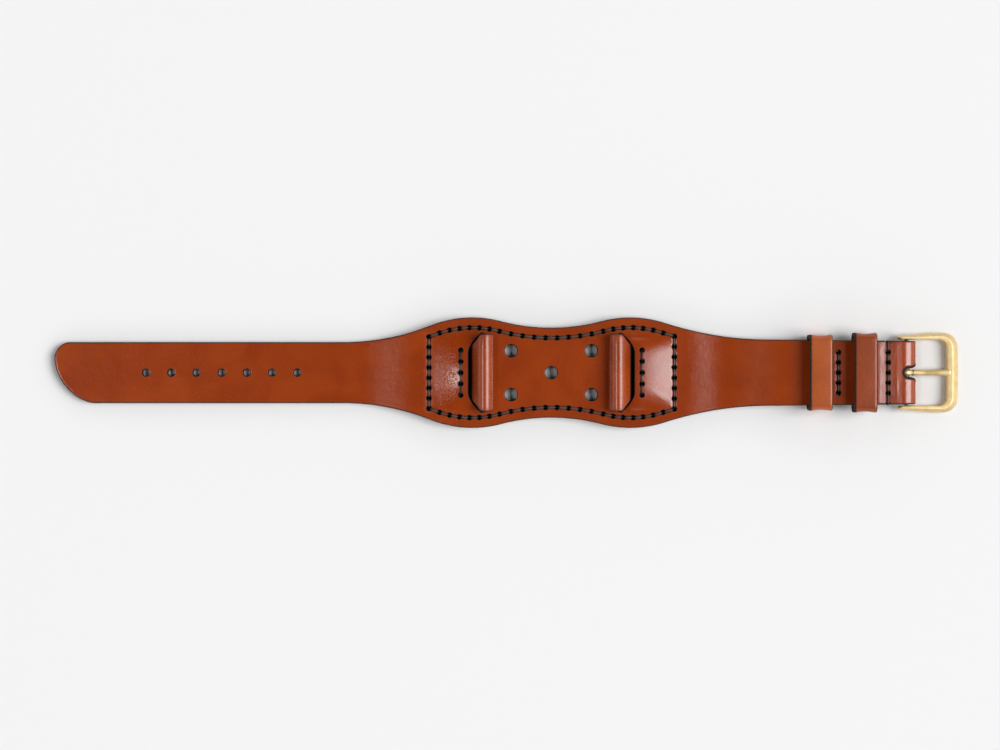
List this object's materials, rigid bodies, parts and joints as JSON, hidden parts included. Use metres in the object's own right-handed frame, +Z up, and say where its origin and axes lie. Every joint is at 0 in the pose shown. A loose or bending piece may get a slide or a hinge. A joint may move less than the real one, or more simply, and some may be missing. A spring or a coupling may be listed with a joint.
{
  "type": "leather watch strap",
  "caption": "Leather pass-through watch strap with a wide stitched hourglass centre, lug loops, two keepers and a brass pin buckle.",
  "frame": {"origin": "middle of the pad, on the underside that touches the wrist", "axes": "+X along the strap towards the buckle, +Y across the strap, +Z up from the wrist side to the watch side"},
  "size_m": [0.2476, 0.0302, 0.0098],
  "materials": {
    "strap_leather": "glossy tan, dark burnished edges",
    "keeper_leather": "satin tan, dark burnished edges",
    "lining_leather": "natural, matt",
    "thread": "waxed grey-brown thread",
    "brass": "satin",
    "steel": "satin"
  },
  "bodies": {
    "strap": {"main_strap": "strap_leather", "pad_lining": "lining_leather", "left_lug_loop": "strap_leather", "right_lug_loop": "strap_leather", "fixed_keeper": "keeper_leather", "pad_stitching": "thread", "left_loop_stitching": "thread", "right_loop_stitching": "thread", "keeper_stitching": "thread", "buckle_stitching": "thread", "spring_bar_tube": "steel", "spring_bar_spring": "steel"},
    "sliding_keeper": {"free_keeper": "keeper_leather"},
    "frame": {"buckle_frame": "brass"},
    "tongue": {"buckle_tongue": "brass"},
    "upper_tip": {"spring_bar_tip_upper": "steel"},
    "lower_tip": {"spring_bar_tip_lower": "steel"}
  },
  "joints": [
    {"name": "keeper_slide", "type": "slide", "parent": "strap", "child": "sliding_keeper", "axis": [1, 0, 0], "range_m": [-0.01, 0.0043]},
    {"name": "buckle_fold", "type": "hinge", "parent": "strap", "child": "frame", "pos_m": [0.09715, 0, 0.0026], "axis": [0, 1, 0], "range_deg": [0, 150]},
    {"name": "tongue_lift", "type": "hinge", "parent": "strap", "child": "tongue", "pos_m": [0.09715, 0, 0.0026], "axis": [0, -1, 0], "range_deg": [0, 88]},
    {"name": "upper_tip_press", "type": "slide", "parent": "strap", "child": "upper_tip", "axis": [0, -1, 0], "range_m": [0, 0.0011], "stiffness_N_per_m": 1500, "springref_m": -0.0005, "deforming": ["spring_bar_spring"]},
    {"name": "lower_tip_press", "type": "slide", "parent": "strap", "child": "lower_tip", "axis": [0, 1, 0], "range_m": [0, 0.0011], "stiffness_N_per_m": 1500, "springref_m": -0.0005, "deforming": ["spring_bar_spring"]}
  ]
}
